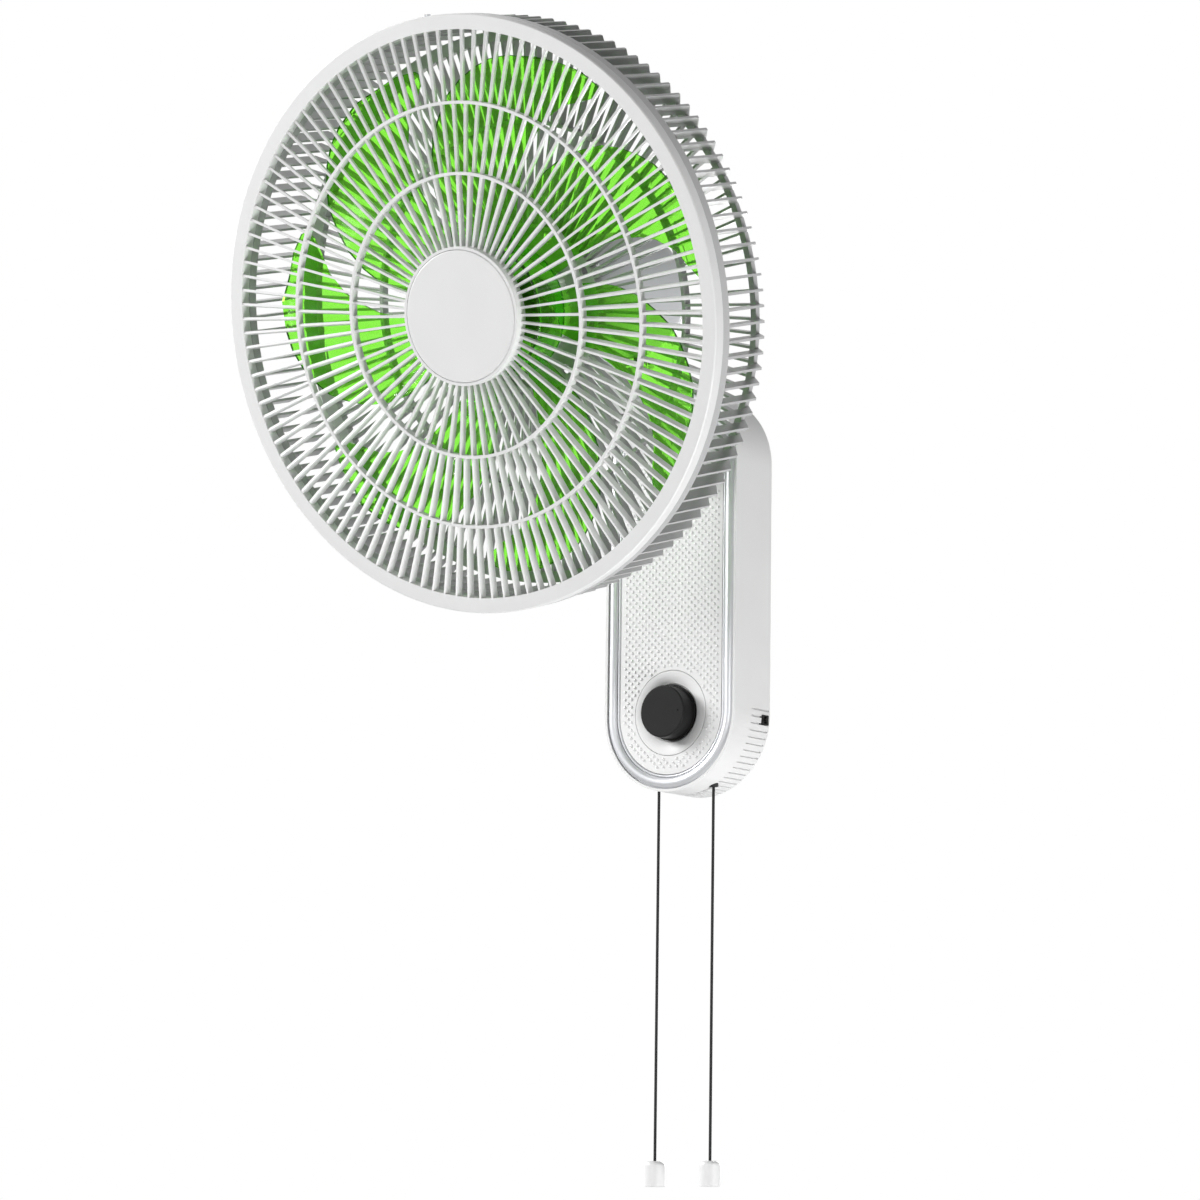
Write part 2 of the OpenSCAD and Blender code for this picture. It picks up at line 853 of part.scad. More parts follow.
// Free cord on side i, hanging straight down from its eyelet: one tube of even rings
module pull_cord(i) {
    points = [
        for (k = [0 : cord_rings], j = [0 : cord_sides - 1])
            let (a = full_turn * j / cord_sides)
                [cord_r * cos(a), cord_r * sin(a), -cord_l * k / cord_rings]
    ];
    sides = [
        for (k = [0 : cord_rings - 1], j = [0 : cord_sides - 1])
            let (a = k * cord_sides + j, b = k * cord_sides + (j + 1) % cord_sides)
                each [[a, b, b + cord_sides], [a, b + cord_sides, a + cord_sides]]
    ];
    ends = [
        [for (j = [cord_sides - 1 : -1 : 0]) j],
        [for (j = [0 : cord_sides - 1]) cord_rings * cord_sides + j]
    ];
    color([0.15, 0.15, 0.15]) translate([i * cord_x, cord_y, cord_top_z])
        mirror([0, 1, 0]) polyhedron(points, concat(sides, ends));
}

module pull_cord_left() {
    pull_cord(-1);
}

module pull_cord_right() {
    pull_cord(1);
}

// Bell with rounded shoulders and a flat foot
module bell(i) {
    shoulder = [
        for (k = [0 : bell_round_steps])
            let (a = quarter_turn * k / bell_round_steps)
                [bell_r - bell_round * (1 - cos(a)), bell_h - bell_round * (1 - sin(a))]
    ];
    color("whitesmoke") translate([i * cord_x, cord_y, cord_top_z - cord_l - bell_h])
        rotate_extrude() polygon(concat([[0, 0], [bell_r, 0]], shoulder, [[0, bell_h]]));
}

module bell_left() {
    bell(-1);
}

module bell_right() {
    bell(1);
}

module mode_switch() {
    x0 = box_r + mode_out - mode_in;
    color([0.1, 0.1, 0.1]) translate([x0, -mode_y, mode_z]) difference() {
        translate([0, -mode_w / 2, -mode_h / 2]) cube([mode_in, mode_w, mode_h]);
        translate([mode_in - slider_l, -mode_window_w / 2, -mode_window_h / 2])
            cube([slider_l + over, mode_window_w, mode_window_h]);
    }
}

module mode_slider() {
    x0 = box_r + mode_out - slider_l + run_gap;
    color([0.2, 0.2, 0.2]) translate([x0, -mode_y - slider_w / 2, mode_z - slider_h / 2])
        cube([slider_l + slider_out, slider_w, slider_h]);
}

module mains_grommet() {
    color([0.12, 0.12, 0.12]) translate([-box_r, -grommet_y, grommet_z]) rotate([0, 90, 0])
        difference() {
            union() {
                cylinder(r = grommet_r, h = shell_t);
                translate([0, 0, -grommet_lip]) cylinder(r = grommet_r + grommet_lip, h = grommet_lip);
                translate([0, 0, shell_t]) cylinder(r = grommet_r + grommet_lip, h = grommet_lip);
            }
            translate([0, 0, -2 * grommet_lip]) cylinder(r = grommet_bore_r, h = 4 * shell_t);
        }
}

module tilt_bolt() {
    color("silver") translate([-arm_half_w - bolt_head_h, tilt_y, tilt_z]) rotate([0, 90, 0]) {
        cylinder(r = bolt_r, h = 2 * arm_half_w + bolt_head_h + bolt_tip);
        cylinder(r = bolt_head_r, h = bolt_head_h, $fn = 6);
    }
}

module tilt_nut() {
    color("silver") translate([arm_half_w, tilt_y, tilt_z]) rotate([0, 90, 0]) difference() {
        cylinder(r = bolt_head_r, h = tilt_nut_h, $fn = 6);
        translate([0, 0, -over]) cylinder(r = bolt_r + run_gap / 2, h = tilt_nut_h + 2 * over);
    }
}

// Carries the head: a knuckle on the tilt bolt, a socket for the pan post and an ear for the link
module neck() {
    color("whitesmoke") on_head() difference() {
        union() {
            upright(0, pan_s, shelf_drop, axis_rise - neck_waist, neck_r);
            upright(link_pin_x, pan_s, shelf_drop, shelf_drop + ear_plate_t, ear_plate_r);
            translate([-knuckle_half_w, pan_s - knuckle_r, -axis_rise])
                cube([2 * knuckle_half_w, 2 * knuckle_r, neck_waist + over]);
            translate([-knuckle_half_w, pan_s, -axis_rise]) rotate([0, 90, 0])
                cylinder(r = knuckle_r, h = 2 * knuckle_half_w);
        }
        upright(0, pan_s, shelf_drop - over, shelf_drop + bush_l + post_tip,
            post_r + bush_t + run_gap / 2);
        upright(link_pin_x, pan_s, shelf_drop - over, axis_rise, link_pin_r + run_gap / 2);
        translate([-arm_half_w, pan_s, -axis_rise]) rotate([0, 90, 0])
            cylinder(r = bolt_r + run_gap, h = 2 * arm_half_w);
    }
}

module neck_bush() {
    color("goldenrod") on_head() difference() {
        upright(0, pan_s, shelf_drop, shelf_drop + bush_l, post_r + bush_t);
        upright(0, pan_s, shelf_drop - over, shelf_drop + bush_l + over, post_r + run_gap);
    }
}

module link_pin() {
    head_drop = link_drop0 - run_gap;
    color("silver") on_head() {
        upright(link_pin_x, pan_s, head_drop, shelf_drop + ear_plate_t, link_pin_r);
        upright(link_pin_x, pan_s, head_drop - link_pin_head_h, head_drop, link_pin_head_r);
    }
}

module pan_washer() {
    color("white") on_head() difference() {
        upright(0, pan_s, boss_drop, shelf_drop - run_gap, washer_r);
        upright(0, pan_s, boss_drop - over, shelf_drop + over, post_r + run_gap);
    }
}

// Flat link from the neck's pin to the crank's pin
module swing_link() {
    dx = crank_x + crank_throw - link_pin_x;
    ds = crank_s - pan_s;
    color("silver") on_head() translate([link_pin_x, pan_s, -link_drop0 - link_t]) difference() {
        linear_extrude(link_t) {
            circle(r = link_eye_r);
            translate([dx, ds]) circle(r = link_eye_r);
            rotate(atan2(ds, dx)) translate([0, -link_eye_r / 2])
                square([norm([dx, ds]), link_eye_r]);
        }
        translate([0, 0, -over]) cylinder(r = link_pin_r + run_gap, h = link_t + 2 * over);
        translate([dx, ds, -over]) cylinder(r = link_hole_r, h = link_t + 2 * over);
    }
}

// Crank disc on the swing motor's shaft, with its pin just short of the link
module swing_crank() {
    disc_drop = crank_drop0 + crank_t;
    color("dimgray") on_head() {
        upright(crank_x, crank_s, swing_motor_drop - crank_shaft_in, disc_drop, crank_shaft_r);
        upright(crank_x, crank_s, crank_drop0, disc_drop, crank_r);
        upright(crank_x + crank_throw, crank_s, crank_drop0, disc_drop + crank_pin_l, crank_pin_r);
    }
}

module swing_motor() {
    low = swing_motor_drop;
    color("silver") on_head() difference() {
        upright(crank_x, crank_s, low - swing_motor_h, low, swing_motor_r);
        upright(crank_x, crank_s, low - crank_shaft_in - run_gap, low + over, crank_shaft_r + run_gap);
    }
}

module pan_post() {
    color("silver") on_head() {
        upright(0, pan_s, post_boss_drop, shelf_drop + bush_l, post_r);
        upright(0, pan_s, post_boss_drop - post_head_h, post_boss_drop, post_head_r);
    }
}

// Body of revolution of the housing's rear, drawn in by t
module motor_shape(t) {
    dome = [
        for (k = [0 : dome_steps])
            let (a = quarter_turn * k / dome_steps)
                [dome_r + (motor_r - dome_r - t) * cos(a), dome_s + (dome_l - t) * sin(a)]
    ];
    on_axis() rotate_extrude($fn = smooth)
        polygon(concat(
            [[0, joint_s + seam], [motor_r - t, joint_s + seam]],
            dome,
            [[0, dome_s + dome_l - t]]
        ));
}

module motor_housing() {
    color("gainsboro") on_head() difference() {
        union() {
            difference() {
                motor_shape(0);
                difference() {
                    motor_shape(motor_wall);
                    upright(0, pan_s, post_boss_drop, axis_rise, post_boss_r);
                    upright(crank_x, crank_s, swing_motor_drop, axis_rise, cradle_r);
                }
                on_axis(joint_s - over)
                    cylinder(r = motor_r - motor_wall, h = 2 * over, $fn = smooth);
            }
            difference() {
                upright(0, pan_s, post_boss_drop, boss_drop, post_boss_r);
                motor_shape(motor_wall / 2);
            }
        }
        upright(0, pan_s, 0, axis_rise, post_r + run_gap / 2);
        upright(crank_x, crank_s, 0, axis_rise, crank_hole_r);
        at_housing_screws() translate([0, 0, -over])
            cylinder(r = housing_screw_r + run_gap, h = motor_wall + 2 * over);
        for (k = [0 : tail_vent_count - 1])
            on_axis(dome_s) rotate(k * full_turn / tail_vent_count)
                translate([tail_vent_at - tail_vent_l / 2, -tail_vent_w / 2, 0])
                    cube([tail_vent_l, tail_vent_w, dome_l]);
    }
}

module motor_front_cover() {
    lip_in_r = motor_r - motor_wall - run_gap - lip_wall;
    color("darkgray") on_head() difference() {
        union() {
            ring(motor_r, motor_r - motor_wall, motor_s, joint_s);
            ring(motor_r - motor_wall / 2, collar_in_r, motor_s, motor_s + motor_wall);
            ring(collar_r, collar_in_r, motor_s - hub_plate_t - collar_l, motor_s + motor_wall);
            ring(motor_r - motor_wall / 2, lip_in_r, joint_s - lip_l, joint_s);
            ring(motor_r - motor_wall - run_gap, lip_in_r, joint_s - over, joint_s + lip_l);
        }
        at_housing_screws() cylinder(r = housing_screw_r, h = motor_wall + lip_wall + over);
        for (k = [0 : face_vent_count - 1])
            on_axis(motor_s - over) rotate((k + 1 / 2) * full_turn / face_vent_count)
                translate([face_vent_at - face_vent_l, -face_vent_w / 2, 0])
                    cube([face_vent_l, face_vent_w, motor_wall + 2 * over]);
        for (a = bolt_angles)
            on_axis(motor_s - over) rotate(a) translate([motor_bolt_at, 0, 0])
                cylinder(r = motor_bolt_r + run_gap, h = motor_wall + 2 * over);
    }
}

// Laminated ring with slots for the windings
module stator() {
    color("slategray") on_head() difference() {
        ring(stator_r, stator_bore_r, stator_s0, stator_s1);
        for (k = [0 : stator_slots - 1])
            on_axis(stator_s0 - over) rotate((k + 1 / 2) * full_turn / stator_slots)
                translate([stator_bore_r - over, -slot_w / 2, 0])
                    cube([slot_l + over, slot_w, stator_h + 2 * over]);
        for (a = bolt_angles)
            on_axis(stator_s0 - over) rotate(a) translate([motor_bolt_at, 0, 0])
                cylinder(r = motor_bolt_r + run_gap, h = stator_h + 2 * over);
    }
}

module windings() {
    color("peru") on_head() for (s = [stator_s0 - winding_tube_r, stator_s1 + winding_tube_r])
        on_axis(s) rotate_extrude($fn = smooth) translate([winding_r, 0]) circle(r = winding_tube_r);
    color("peru") on_head() for (k = [0 : stator_slots - 1])
        on_axis(stator_s0 - over) rotate((k + 1 / 2) * full_turn / stator_slots)
            translate([slot_fill_r0, -slot_fill_w / 2, 0])
                cube([slot_fill_r1 - slot_fill_r0, slot_fill_w, stator_h + 2 * over]);
}

// Die-cast end bracket: plate, skirt over the stator, bearing boss and stand-offs; out is -1 or 1
module bracket(s, out) {
    color("lightgray") on_head() translate([0, s, 0]) mirror([0, out > 0 ? 0 : 1, 0]) difference() {
        union() {
            ring(stator_r + bracket_skirt_t, bearing_r, 0, bracket_t);
            ring(stator_r + bracket_skirt_t, stator_r + run_gap, -bracket_gap - bracket_grip,
                bracket_t);
            ring(bearing_r + bearing_wall, bearing_r, 0, bearing_l);
            if (out < 0)
                for (a = bolt_angles)
                    on_axis() rotate(a) translate([motor_bolt_at, 0, 0])
                        cylinder(r = standoff_r, h = bracket_s0 - motor_s - motor_wall);
        }
        for (a = bolt_angles)
            on_axis(-over) rotate(a) translate([motor_bolt_at, 0, 0])
                cylinder(r = motor_bolt_r + run_gap, h = bracket_s0 - motor_s + 2 * over);
    }
}

module front_bracket() {
    bracket(bracket_s0, -1);
}

module rear_bracket() {
    bracket(bracket_s1, 1);
}

module shaft_bearings() {
    color("goldenrod") on_head() for (s = [bracket_s0 - bearing_l, bracket_s1])
        ring(bearing_r, shaft_r + run_gap / 2, s, s + bearing_l);
}

module motor_bolts() {
    bolt_l = bracket_s1 + bracket_t - motor_s - gap;
    color("silver") on_head() for (a = bolt_angles)
        on_axis(bracket_s1 + bracket_t) rotate(a) translate([motor_bolt_at, 0, 0]) mirror([0, 0, 1])
            screw(motor_bolt_r, bolt_l, motor_bolt_head_r, motor_bolt_head_h);
}

// Repeats children at the housing's screws, with Z pointing in towards the axis
module at_housing_screws() {
    for (k = [0 : housing_screw_count - 1])
        on_axis(joint_s + lip_l / 2) rotate(quarter_turn + k * full_turn / housing_screw_count)
            translate([motor_r, 0, 0]) rotate([0, -90, 0]) children();
}

module housing_screws() {
    color("silver") on_head() at_housing_screws()
        screw(housing_screw_r, motor_wall + lip_wall - gap, housing_screw_head_r, housing_screw_head_h);
}

// Straight ribs of one thickness, from one radius to another, leaning over by an angle
module spokes(count, r0, r1, s0, s1, slant = 0) {
    for (k = [0 : count - 1])
        on_axis(s0) rotate(k * full_turn / count) translate([r0, 0, 0]) rotate([slant, 0, 0])
            translate([0, -rib_t / 2, 0]) cube([r1 - r0, rib_t, s1 - s0]);
}

module front_guard() {
    wall_in = guard_r - rim_wall_t;
    rib_end = rim_in_r + over;
    color("whitesmoke") on_head() difference() {
        union() {
            on_axis() rotate_extrude($fn = smooth) polygon([
                [rim_in_r, 0], [guard_r - rim_edge, 0], [guard_r, rim_edge],
                [guard_r, front_rim_d], [wall_in, front_rim_d],
                [wall_in, rim_skin_t], [rim_in_r + rim_skin_t, rim_skin_t],
                [rim_in_r + rim_skin_t, rim_inner_d], [rim_in_r, rim_inner_d]
            ]);
            ring(ring_outer_r + ring_t / 2, ring_outer_r - ring_t / 2, 0, ring_s1);
            ring(ring_inner_r + ring_t / 2, ring_inner_r - ring_t / 2, -ring_proud, ring_s1);
            ring(cap_r, cap_seat_r, cap_s + gap, ring_s1);
            on_axis(cap_floor_s)
                cylinder(r = cap_seat_r + rib_bite, h = cap_floor_t, $fn = smooth);
            spokes(inner_rib_count, cap_r - over, ring_inner_r - rib_bite, rib_s0, rib_s1);
            spokes(middle_rib_count, ring_inner_r + rib_bite, ring_outer_r - rib_bite, rib_s0, rib_s1,
                rib_lean);
            spokes(fin_count, ring_outer_r + rib_bite, rib_end, rib_s0, rib_s1, rib_lean);
        }
        for (a = peg_angles)
            on_axis() rotate(a) translate([cap_peg_at, 0, 0])
                cylinder(r = cap_peg_r + run_gap, h = rib_s1);
        on_axis(guard_screw_s) rotate(-quarter_turn) translate([wall_in - over, 0, 0])
            rotate([0, 90, 0]) cylinder(r = guard_screw_r + run_gap, h = rim_wall_t + 2 * over);
    }
}

module front_cap() {
    color("whitesmoke") on_head() {
        on_axis(cap_s) rotate_extrude($fn = smooth) {
            translate([0, cap_edge]) square([cap_seat_r - gap, cap_t - cap_edge]);
            square([cap_seat_r - gap - cap_edge, cap_t]);
            translate([cap_seat_r - gap - cap_edge, cap_edge]) circle(r = cap_edge);
        }
        for (a = peg_angles)
            on_axis(cap_s + cap_t - over) rotate(a) translate([cap_peg_at, 0, 0])
                cylinder(r = cap_peg_r, h = cap_floor_s + cap_floor_t - cap_s - cap_t + over);
    }
}

module guard_screw() {
    color("silver") on_head() on_axis(guard_screw_s) rotate(-quarter_turn)
        translate([guard_r, 0, 0]) rotate([0, -90, 0])
            screw(guard_screw_r, rim_wall_t + tongue_t, guard_screw_head_r, guard_screw_head_h);
}

// Outline of a rear fin, as radius and s, from the rim round the corner to the back ring
function fin_outline() = [
    [fin_r, rear_s1 - over], [fin_r, cage_d], [fin_r - fin_chamfer, fin_chamfer_s],
    [back_ring_r + rib_bite, back_ring_s], [back_ring_r + rib_bite, back_ring_s - back_rib_depth],
    [corner_ring_in_r + rib_bite, fin_chamfer_s - back_rib_depth],
    [corner_ring_r - rib_bite, corner_ring_out_s - corner_ring_out_l + 2 * rib_bite],
    [fin_in_r, corner_ring_out_s - corner_ring_out_l], [fin_in_r, rear_s1 - over]
];

module rear_guard() {
    wall_in = guard_r - rim_wall_t;
    tongue_r = wall_in - gap;
    hub_wall_s = back_ring_s - back_rib_depth;
    inner_wall_r = rim_in_r + rib_bite;
    color([0.82, 0.82, 0.83]) on_head() difference() {
        union() {
            on_axis() rotate_extrude($fn = smooth) polygon([
                [guard_r, rear_s0], [guard_r, rear_s1], [inner_wall_r, rear_s1], [inner_wall_r, rear_s0],
                [inner_wall_r + rear_wall_t, rear_s0],
                [inner_wall_r + rear_wall_t, rear_s1 - rear_wall_t],
                [wall_in, rear_s1 - rear_wall_t], [wall_in, rear_s0]
            ]);
            on_axis() rotate_extrude($fn = smooth) polygon([
                [corner_ring_r, corner_ring_out_s - corner_ring_out_l],
                [corner_ring_r, corner_ring_out_s - rib_bite],
                [corner_ring_in_r, fin_chamfer_s - rib_bite],
                [corner_ring_in_r, fin_chamfer_s - corner_ring_in_l]
            ]);
            ring(back_ring_r + back_ring_t / 2, back_ring_r - back_ring_t / 2, hub_wall_s - rib_bite,
                back_ring_s + rib_bite);
            ring(hub_plate_r, hub_plate_r - back_ring_t, hub_wall_s - rib_bite, plate_s + hub_plate_t);
            ring(hub_plate_r - over, hub_hole_r, plate_s, plate_s + hub_plate_t - rib_bite);
            spokes(back_rib_count, hub_plate_r - over - rib_bite, back_ring_r - rib_bite, hub_wall_s,
                back_ring_s);
            for (k = [0 : fin_count - 1])
                on_axis() rotate(k * full_turn / fin_count) rotate([90, 0, 0])
                    linear_extrude(rib_t, center = true) polygon(fin_outline());
            for (k = [0 : tongue_count - 1])
                on_axis() rotate(k * full_turn / tongue_count - quarter_turn) {
                    translate([tongue_r - tongue_t, -tongue_w / 2, tongue_s])
                        cube([tongue_t, tongue_w, rear_s1 - 2 * rib_bite - tongue_s]);
                    translate([tongue_r - tongue_t / 2, -tongue_w / 2 + rib_bite, rear_s0 + rib_bite])
                        cube([tongue_t, tongue_w - 2 * rib_bite, rear_rim_d - 4 * rib_bite]);
                }
        }
        for (k = [0 : hub_vent_count - 1])
            on_axis(plate_s - over) rotate((k + 1 / 2) * full_turn / hub_vent_count)
                translate([hub_vent_at, 0, 0]) cylinder(r = hub_vent_r, h = hub_plate_t + 2 * over);
        on_axis(guard_screw_s) rotate(-quarter_turn) translate([tongue_r - tongue_t - over, 0, 0])
            rotate([0, 90, 0]) cylinder(r = guard_screw_r, h = tongue_t + 2 * over);
    }
}

module guard_nut() {
    color("whitesmoke") on_head() on_axis(plate_s - guard_nut_h) linear_extrude(guard_nut_h)
        difference() {
            union() {
                circle(r = guard_nut_r, $fn = smooth);
                for (k = [0 : guard_nut_lobes - 1])
                    rotate(k * full_turn / guard_nut_lobes) translate([guard_nut_r - lobe_r / 2, 0])
                        circle(r = lobe_r);
            }
            circle(r = collar_r + run_gap);
        }
}

module rotor_shaft() {
    color("silver") on_head() difference() {
        on_axis(shaft_s0) cylinder(r = shaft_r, h = shaft_s1 - shaft_s0);
        translate([-shaft_d, drive_pin_s, 0]) rotate([0, 90, 0])
            cylinder(r = drive_pin_r + run_gap / 2, h = 2 * shaft_d);
    }
}

module rotor_core() {
    color("slategray") on_head()
        ring(rotor_r, shaft_r + run_gap / 2, stator_s0 - rotor_over, stator_s1 + rotor_over);
}

module drive_pin() {
    color("silver") on_head() translate([-drive_pin_l / 2, drive_pin_s, 0]) rotate([0, 90, 0])
        cylinder(r = drive_pin_r, h = drive_pin_l);
}

// Point on a blade at station i and chord place j, offset by d along s
function blade_point(i, j, d) =
    let (
        f = j / chord_steps,
        a = lead_angles[i] + f * (trail_angles[i] - lead_angles[i]),
        s = lead_s[i] + f * (trail_s[i] - lead_s[i]) + camber_l * sin(half_turn * f),
        r = blade_root_r + blade_radius_shares[i] * (blade_r - blade_root_r)
    )
        [r * cos(a), s + d, r * sin(a)];

// One blade, as a skin of equal thickness over its stations
module blade() {
    n = len(blade_radius_shares);
    m = chord_steps + 1;
    points = [
        for (d = [-blade_t / 2, blade_t / 2], i = [0 : n - 1], j = [0 : chord_steps])
            blade_point(i, j, d)
    ];
    skins = [
        for (i = [0 : n - 2], j = [0 : chord_steps - 1])
            let (a = i * m + j, b = a + 1, c = a + m + 1, d = a + m, q = n * m)
                each [[a, b, c], [a, c, d], [q + a, q + c, q + b], [q + a, q + d, q + c]]
    ];
    side_walls = [
        for (i = [0 : n - 2], j = [0, chord_steps])
            let (a = i * m + j, b = a + m, q = n * m)
                each (j == 0 ? [[a, b, q + b], [a, q + b, q + a]] : [[a, q + b, b], [a, q + a, q + b]])
    ];
    end_walls = [
        for (i = [0, n - 1], j = [0 : chord_steps - 1])
            let (a = i * m + j, b = a + 1, q = n * m)
                each (i == 0 ? [[a, q + b, b], [a, q + a, q + b]] : [[a, b, q + b], [a, q + b, q + a]])
    ];
    polyhedron(points, concat(skins, side_walls, end_walls));
}

module fan_blades() {
    color([0.45, 0.95, 0.2]) on_head() difference() {
        union() {
            on_axis(hub_s0) rotate_extrude($fn = smooth) difference() {
                union() {
                    square([hub_r - hub_round, hub_wall]);
                    translate([hub_r - hub_round, hub_round]) circle(r = hub_round);
                    translate([0, hub_round]) square([hub_r, hub_s1 - hub_s0 - hub_round]);
                }
                translate([hub_boss_r, hub_wall]) square([hub_r - hub_wall - hub_boss_r, hub_s1]);
                translate([0, hub_boss_s1 - hub_s0]) square([hub_boss_r + over, hub_s1]);
                square([shaft_r + run_gap, hub_s1]);
            }
            spokes(hub_ribs, hub_boss_r - over, hub_r - over, hub_s0 + over, hub_rib_s1);
            for (k = [0 : blade_count - 1])
                rotate([0, -blade_phase - k * full_turn / blade_count, 0]) blade();
        }
        translate([-hub_boss_r - over, drive_pin_s - drive_pin_r, -drive_pin_r - run_gap])
            cube([2 * hub_boss_r + 2 * over, hub_s1, 2 * (drive_pin_r + run_gap)]);
    }
}

module blade_nut() {
    l = blade_nut_l;
    color("whitesmoke") on_head() difference() {
        on_axis(hub_s0 - l) rotate_extrude($fn = smooth) {
            translate([0, blade_nut_round]) square([blade_nut_r, l - blade_nut_round]);
            square([blade_nut_r - blade_nut_round, l]);
            translate([blade_nut_r - blade_nut_round, blade_nut_round])
                circle(r = blade_nut_round);
        }
        for (k = [0 : blade_nut_flutes - 1])
            on_axis(hub_s0 - l - over) rotate(k * full_turn / blade_nut_flutes)
                translate([blade_nut_r + flute_r / 2, 0, 0]) cylinder(r = flute_r, h = l + 2 * over);
        on_axis(shaft_s0 - gap) cylinder(r = shaft_r + run_gap / 2, h = l);
    }
}

wall_plate();
back_cover();
housing();
bezel();
front_panel();
knob_dish();
rotary_switch();
switch_nut();
support_arm();
arm_screws();
cover_screws();
terminal_block();
run_capacitor();
pull_switch_left();
pull_switch_right();
cord_eyelets();
mode_switch();
mains_grommet();
tilt_bolt();
tilt_nut();
knob();
switch_shaft();
mode_slider();
pull_rod_left();
pull_rod_right();
inner_cord_left();
inner_cord_right();
pull_cord_left();
pull_cord_right();
bell_left();
bell_right();
neck();
neck_bush();
link_pin();
swing_link();
swing_crank();
motor_front_cover();
motor_housing();
housing_screws();
stator();
windings();
front_bracket();
rear_bracket();
shaft_bearings();
motor_bolts();
swing_motor();
pan_post();
pan_washer();
rear_guard();
guard_nut();
front_guard();
front_cap();
guard_screw();
rotor_shaft();
rotor_core();
drive_pin();
fan_blades();
blade_nut();
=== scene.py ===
import math
import bpy
from mathutils import Matrix, Vector


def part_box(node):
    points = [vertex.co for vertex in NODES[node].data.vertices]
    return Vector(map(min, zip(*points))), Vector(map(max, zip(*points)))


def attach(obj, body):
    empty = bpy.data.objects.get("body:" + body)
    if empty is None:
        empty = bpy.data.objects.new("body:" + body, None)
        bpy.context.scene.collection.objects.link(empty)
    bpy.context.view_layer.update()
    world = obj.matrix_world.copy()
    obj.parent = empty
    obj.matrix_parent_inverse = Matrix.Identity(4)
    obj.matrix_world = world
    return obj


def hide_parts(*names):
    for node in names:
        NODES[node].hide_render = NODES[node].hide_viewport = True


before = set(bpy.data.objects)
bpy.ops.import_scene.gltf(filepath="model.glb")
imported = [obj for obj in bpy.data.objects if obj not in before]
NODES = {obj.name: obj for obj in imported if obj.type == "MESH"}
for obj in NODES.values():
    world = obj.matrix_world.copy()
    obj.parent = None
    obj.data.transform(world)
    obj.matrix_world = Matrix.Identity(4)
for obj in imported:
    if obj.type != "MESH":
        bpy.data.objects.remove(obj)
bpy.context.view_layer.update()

# The camera, fitted to the photo: 36 degrees to the side, looking up by 9 degrees.
CAMERA_AT = (1.9209, -2.8157, -0.5286)
CAMERA_PAN = 0.6225
CAMERA_TILT = 0.1528
CAMERA_ROLL = -0.0135
LENS_MM = 135
SENSOR_MM = 36
CLIP_END = 50


def rot(axis, angle):
    return Matrix.Rotation(angle, 3, axis)


def make_camera():
    turn = rot("Z", CAMERA_PAN) @ rot("X", CAMERA_TILT) @ rot("Y", CAMERA_ROLL)
    right = turn @ Vector((1, 0, 0))
    look = turn @ Vector((0, 1, 0))
    up = turn @ Vector((0, 0, 1))
    data = bpy.data.cameras.new("camera")
    data.sensor_width = SENSOR_MM
    data.lens = LENS_MM
    data.clip_end = CLIP_END
    cam = bpy.data.objects.new("camera", data)
    place = Matrix((right, up, -look)).transposed().to_4x4()
    place.translation = Vector(CAMERA_AT)
    cam.matrix_world = place
    bpy.context.collection.objects.link(cam)
    bpy.context.scene.camera = cam


make_camera()


# Materials. Each has fine grain, slow patches of colour and uneven gloss.
PATCH_SCALE = 25.0
PATCH_EDGES = (0.3, 0.7)
BUMP_DEPTH = 0.0002
LEAST_ROUGH = 0.02


def node(tree, kind, **inputs):
    """A new node with some inputs set. An underscore stands for a space in an input's name."""
    n = tree.nodes.new(kind)
    for key, value in inputs.items():
        n.inputs[key.replace("_", " ")].default_value = value
    return n


def math_node(tree, operation, first, second):
    """The output of a Math node. Each input is a socket to link or a number."""
    n = tree.nodes.new("ShaderNodeMath")
    n.operation = operation
    for k, value in enumerate((first, second)):
        if isinstance(value, bpy.types.NodeSocket):
            tree.links.new(value, n.inputs[k])
        else:
            n.inputs[k].default_value = value
    return n.outputs[0]


def raise_surface(tree, height, strength):
    """Lets a height bump the surface of the tree's shader."""
    b = node(tree, "ShaderNodeBump", Strength=strength, Distance=BUMP_DEPTH)
    tree.links.new(height, b.inputs["Height"])
    tree.links.new(b.outputs["Normal"], tree.nodes["Principled BSDF"].inputs["Normal"])


